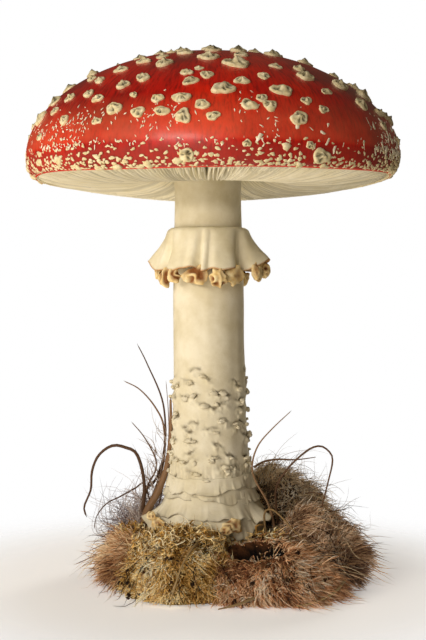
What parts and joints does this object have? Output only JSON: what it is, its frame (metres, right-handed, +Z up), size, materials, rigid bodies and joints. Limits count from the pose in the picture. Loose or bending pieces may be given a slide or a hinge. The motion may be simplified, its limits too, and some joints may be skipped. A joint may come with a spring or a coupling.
{
  "type": "fly agaric mushroom",
  "caption": "Fly agaric with a domed warty cap, free gills, ringed stem and scaly bulb, standing in the clod of soil, moss and dry grass it was lifted with.",
  "frame": {"origin": "middle of the clod's flat underside, straight below the crown of the cap", "axes": "+Z up along the stem, -Y the front, +X to the mushroom's right as seen from the front"},
  "size_m": [0.1384, 0.1384, 0.1958],
  "materials": {
    "cap_skin": "glossy, slightly sticky red skin",
    "gill": "matt cream blades",
    "stem_flesh": "matt ivory, faintly fibrous",
    "ring_veil": "matt ivory membrane, soft",
    "torn_veil": "matt cream and ochre, crumbly",
    "volva": "matt cream torn scales",
    "soil": "damp dark humus, crumbly",
    "moss_front_left": "olive-yellow curly moss",
    "moss_front_right": "rust-brown fibrous moss",
    "moss_right": "dark brown fibrous moss",
    "moss_back_right": "dark brown moss with grey fuzz",
    "moss_left": "brown fibrous moss",
    "moss_back_left": "pale grey-lilac twiggy litter",
    "moss_back": "brown moss",
    "dry_grass": "dry tapered blades, satin",
    "dead_leaf": "dry papery sheath",
    "root": "fine dry root strands",
    "wart": "matt cream, cracked and crumbly"
  },
  "bodies": {
    "root": {"cap": "cap_skin", "gills": "gill", "stem": "stem_flesh", "ring": "ring_veil", "ring_tooth_01": "torn_veil", "ring_tooth_02": "torn_veil", "ring_tooth_03": "torn_veil", "ring_tooth_04": "torn_veil", "ring_tooth_05": "torn_veil", "ring_tooth_06": "torn_veil", "ring_tooth_07": "torn_veil", "ring_tooth_08": "torn_veil", "ring_tooth_09": "torn_veil", "ring_tooth_10": "torn_veil", "ring_tooth_11": "torn_veil", "ring_tooth_12": "torn_veil", "volva_collar": "volva", "volva_band_middle": "volva", "volva_band_upper": "volva", "soil_clod": "soil", "moss_front_left": "moss_front_left", "moss_front_right": "moss_front_right", "moss_right": "moss_right", "moss_back_right": "moss_back_right", "moss_left": "moss_left", "moss_back_left": "moss_back_left", "moss_back": "moss_back", "grass_tall": "dry_grass", "grass_arched": "dry_grass", "grass_short": "dry_grass", "grass_hoop_left": "dry_grass", "leaf_sheath": "dead_leaf", "grass_pale": "dry_grass", "grass_fallen": "dry_grass", "grass_upright_right": "dry_grass", "grass_level_right": "dry_grass", "grass_hoop_right": "dry_grass", "root_right": "root", "root_right_low": "root", "root_front": "root", "root_front_low": "root", "wart_01": "wart", "wart_02": "wart", "wart_03": "wart", "wart_04": "wart", "wart_05": "wart", "wart_06": "wart", "wart_07": "wart", "wart_08": "wart", "wart_09": "wart", "wart_10": "wart", "wart_11": "wart", "wart_12": "wart", "wart_13": "wart", "wart_14": "wart", "wart_15": "wart", "wart_16": "wart", "wart_17": "wart", "wart_18": "wart"}
  },
  "joints": []
}
